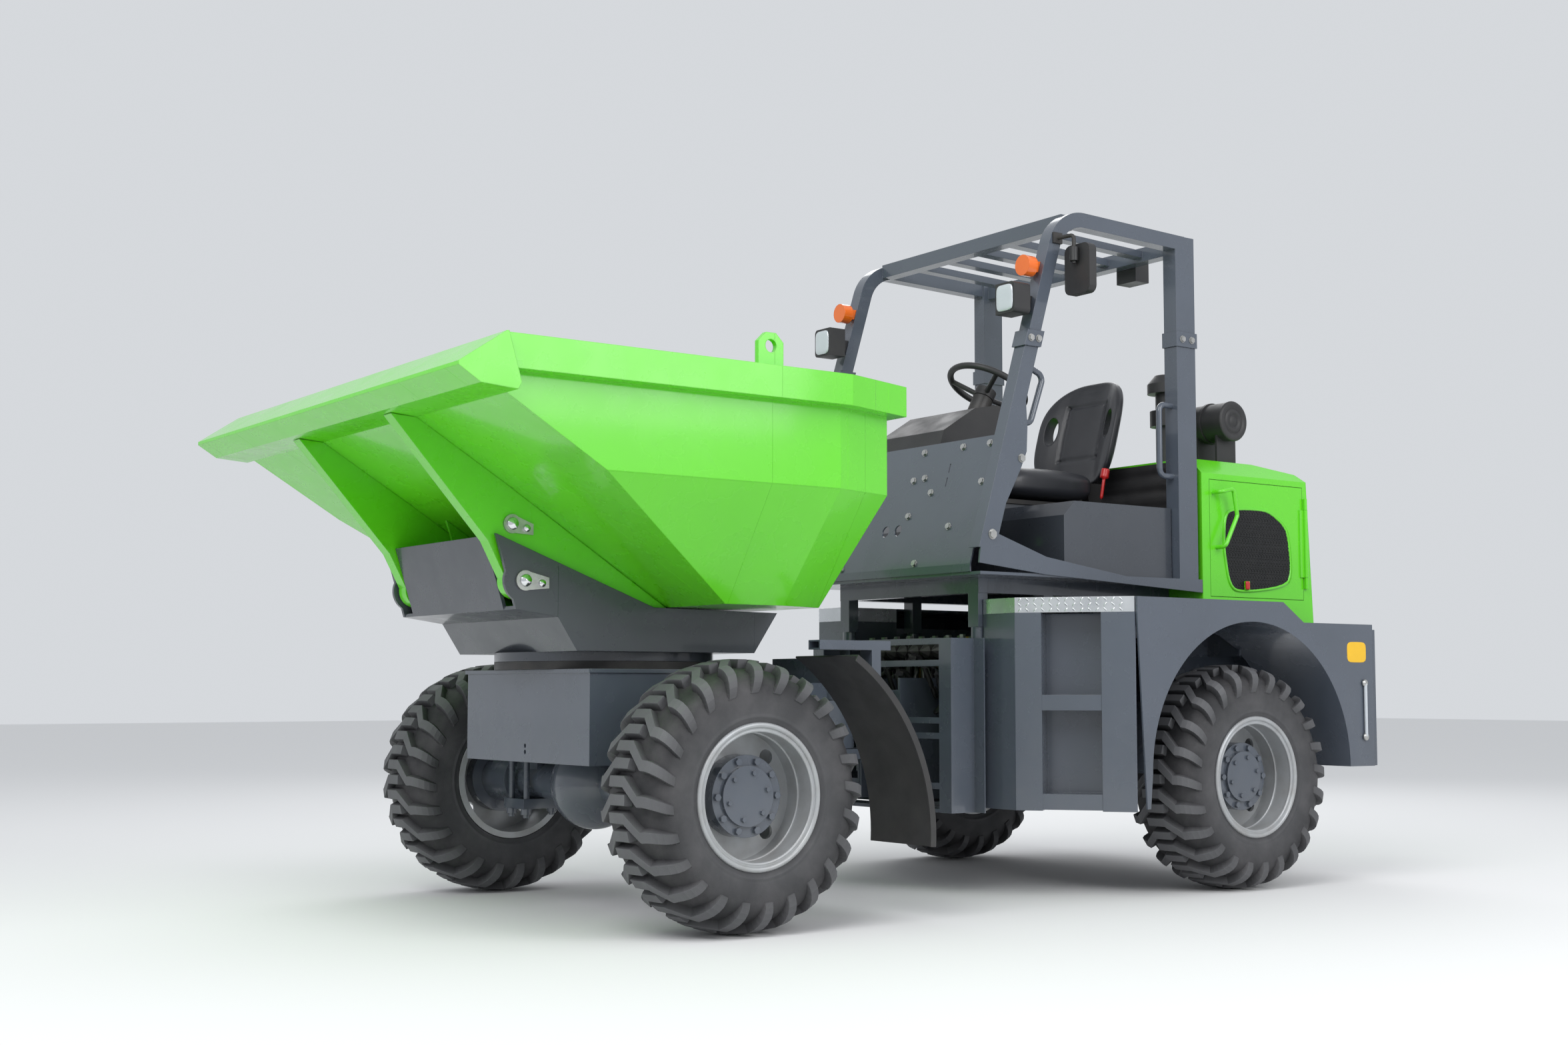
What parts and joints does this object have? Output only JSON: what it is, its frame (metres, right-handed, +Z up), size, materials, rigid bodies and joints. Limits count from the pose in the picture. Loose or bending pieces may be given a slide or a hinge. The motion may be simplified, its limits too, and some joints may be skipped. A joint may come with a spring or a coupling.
{
  "type": "articulated site dumper",
  "caption": "Four-wheel-drive articulated site dumper: slewing skip that tips forward, open driver's station under a roll frame, engine hood behind.",
  "frame": {"origin": "on the ground, midway along and across the machine", "axes": "-Y is the front (skip end), +X is the driver's left, +Z is up"},
  "size_m": [2.25, 4.405, 2.7271],
  "materials": {
    "green_paint": "gloss lime green paint",
    "grey_paint": "gloss blue-grey paint",
    "dark_grey_paint": "satin dark grey paint",
    "silver_paint": "silver wheel paint",
    "yellow_paint": "yellow casting paint",
    "chequer_plate": "bright raised-tread plate",
    "zinc": "zinc-plated fasteners",
    "chrome_rod": "polished cylinder rods",
    "tyre_rubber": "dusty black tyre",
    "black_plastic": "black moulded plastic",
    "orange_lens": "orange lens",
    "black_metal": "black castings",
    "seat_vinyl": "black moulded seat cover"
  },
  "bodies": {
    "rear_chassis": {"rear_frame": "grey_paint", "rear_axle": "grey_paint", "fenders": "grey_paint", "step_boxes": "grey_paint", "step_covers": "chequer_plate", "bulkhead_cage": "grey_paint", "rear_counterweight": "grey_paint", "gearbox": "yellow_paint", "engine": "black_metal", "platform": "grey_paint", "front_panel": "grey_paint", "rops_lower": "grey_paint", "rops_upper": "grey_paint", "frame_bolts": "zinc", "steering_column": "black_metal", "dash_cowl": "black_plastic", "control_brackets": "black_metal", "work_lamps": "black_plastic", "indicators": "orange_lens", "mirror_arm": "black_metal", "seat_box": "dark_grey_paint", "hood": "green_paint", "air_cleaner": "black_plastic", "pre_cleaner": "black_plastic"},
    "knuckle": {"centre_knuckle": "grey_paint"},
    "front_chassis": {"front_frame": "grey_paint", "front_axle": "grey_paint", "front_mudguards": "black_plastic", "slew_ring": "black_metal"},
    "cradle": {"cradle": "dark_grey_paint", "tip_pins": "zinc"},
    "skip": {"skip": "green_paint", "skip_ribs": "green_paint", "rib_keepers": "zinc"},
    "tip_barrels": {"tip_barrels": "grey_paint"},
    "tip_rods": {"tip_rods": "chrome_rod"},
    "steer_barrel": {"steer_barrel": "grey_paint"},
    "steer_rod": {"steer_rod": "chrome_rod"},
    "seat": {"seat_base": "black_metal", "seat_cushion": "seat_vinyl", "seat_back": "seat_vinyl"},
    "steering_wheel": {"steering_wheel": "black_plastic"},
    "gear_lever": {"gear_lever": "black_metal"},
    "accelerator_pedal": {"accelerator_pedal": "black_metal"},
    "brake_pedal": {"brake_pedal": "black_metal"},
    "door_left": {"service_door_left": "green_paint"},
    "door_right": {"service_door_right": "green_paint"},
    "mirror": {"mirror_left": "black_plastic"},
    "wheel_front_left": {"tyre_front_left": "tyre_rubber", "rim_front_left": "silver_paint", "hub_front_left": "grey_paint"},
    "wheel_front_right": {"tyre_front_right": "tyre_rubber", "rim_front_right": "silver_paint", "hub_front_right": "grey_paint"},
    "wheel_rear_left": {"tyre_rear_left": "tyre_rubber", "rim_rear_left": "silver_paint", "hub_rear_left": "grey_paint"},
    "wheel_rear_right": {"tyre_rear_right": "tyre_rubber", "rim_rear_right": "silver_paint", "hub_rear_right": "grey_paint"}
  },
  "joints": [
    {"name": "articulation", "type": "hinge", "parent": "rear_chassis", "child": "knuckle", "pos_m": [0, -0.0175, 0.66], "axis": [0, 0, -1], "range_deg": [-30, 30]},
    {"name": "oscillation", "type": "hinge", "parent": "knuckle", "child": "front_chassis", "pos_m": [0, -0.3175, 0.66], "axis": [0, 1, 0], "range_deg": [-10, 10]},
    {"name": "slew", "type": "hinge", "parent": "front_chassis", "child": "cradle", "pos_m": [0, -1.0575, 0.9], "axis": [0, 0, 1], "range_deg": [-90, 90]},
    {"name": "tip", "type": "hinge", "parent": "cradle", "child": "skip", "pos_m": [0, -1.6235, 1.16], "axis": [1, 0, 0], "range_deg": [0, 50]},
    {"name": "tip_barrel_swing", "type": "hinge", "parent": "cradle", "child": "tip_barrels", "pos_m": [0, -0.9975, 1], "axis": [1, 0, 0], "range_deg": [0, 2.88]},
    {"name": "tip_rod_slide", "type": "slide", "parent": "tip_barrels", "child": "tip_rods", "axis": [0, -0.8499, 0.5269], "range_m": [0, 0.1532]},
    {"name": "steer_barrel_swing", "type": "hinge", "parent": "rear_chassis", "child": "steer_barrel", "pos_m": [-0.22, 0.3825, 0.52], "axis": [0, 0, 1], "range_deg": [-4.81, 4.81]},
    {"name": "steer_rod_slide", "type": "slide", "parent": "steer_barrel", "child": "steer_rod", "axis": [0, -1, 0], "range_m": [-0.1125, 0.1125]},
    {"name": "spin_front_left", "type": "hinge", "parent": "front_chassis", "child": "wheel_front_left", "pos_m": [0.8515, -1.0575, 0.45], "axis": [1, 0, 0], "continuous": true},
    {"name": "spin_front_right", "type": "hinge", "parent": "front_chassis", "child": "wheel_front_right", "pos_m": [-0.8515, -1.0575, 0.45], "axis": [1, 0, 0], "continuous": true},
    {"name": "spin_rear_left", "type": "hinge", "parent": "rear_chassis", "child": "wheel_rear_left", "pos_m": [0.8515, 1.3595, 0.45], "axis": [1, 0, 0], "continuous": true},
    {"name": "spin_rear_right", "type": "hinge", "parent": "rear_chassis", "child": "wheel_rear_right", "pos_m": [-0.8515, 1.3595, 0.45], "axis": [1, 0, 0], "continuous": true},
    {"name": "steer_wheel_turn", "type": "hinge", "parent": "rear_chassis", "child": "steering_wheel", "pos_m": [0, 0.8355, 2.098], "axis": [0, 0.4695, 0.8829], "continuous": true},
    {"name": "seat_slide", "type": "slide", "parent": "rear_chassis", "child": "seat", "axis": [0, 1, 0], "range_m": [-0.05, 0.035]},
    {"name": "gear_lever_swing", "type": "hinge", "parent": "rear_chassis", "child": "gear_lever", "pos_m": [-0.33, 0.5725, 1.29], "axis": [1, 0, 0], "range_deg": [-15, 15]},
    {"name": "accelerator_press", "type": "hinge", "parent": "rear_chassis", "child": "accelerator_pedal", "pos_m": [-0.21, 0.4225, 1.3], "axis": [1, 0, 0], "range_deg": [0, 12], "stiffness_Nm_per_rad": 15},
    {"name": "brake_press", "type": "hinge", "parent": "rear_chassis", "child": "brake_pedal", "pos_m": [0.19, 0.4225, 1.3], "axis": [1, 0, 0], "range_deg": [0, 12], "stiffness_Nm_per_rad": 25},
    {"name": "door_left_swing", "type": "hinge", "parent": "rear_chassis", "child": "door_left", "pos_m": [0.65, 2.1275, 1.44], "axis": [0, 0, 1], "range_deg": [0, 100]},
    {"name": "door_right_swing", "type": "hinge", "parent": "rear_chassis", "child": "door_right", "pos_m": [-0.65, 2.1275, 1.44], "axis": [0, 0, -1], "range_deg": [0, 100]},
    {"name": "mirror_swing", "type": "hinge", "parent": "rear_chassis", "child": "mirror", "pos_m": [0.722, 0.65413, 2.5], "axis": [0, 0, 1], "range_deg": [-25, 25]}
  ],
  "couplings": [
    {"joint": "tip_barrel_swing", "follows": "tip", "ratio": 0.0575},
    {"joint": "tip_rod_slide", "follows": "tip", "m_per_rad": 0.175},
    {"joint": "steer_barrel_swing", "follows": "articulation", "ratio": -0.16},
    {"joint": "steer_rod_slide", "follows": "articulation", "m_per_rad": -0.2143}
  ]
}
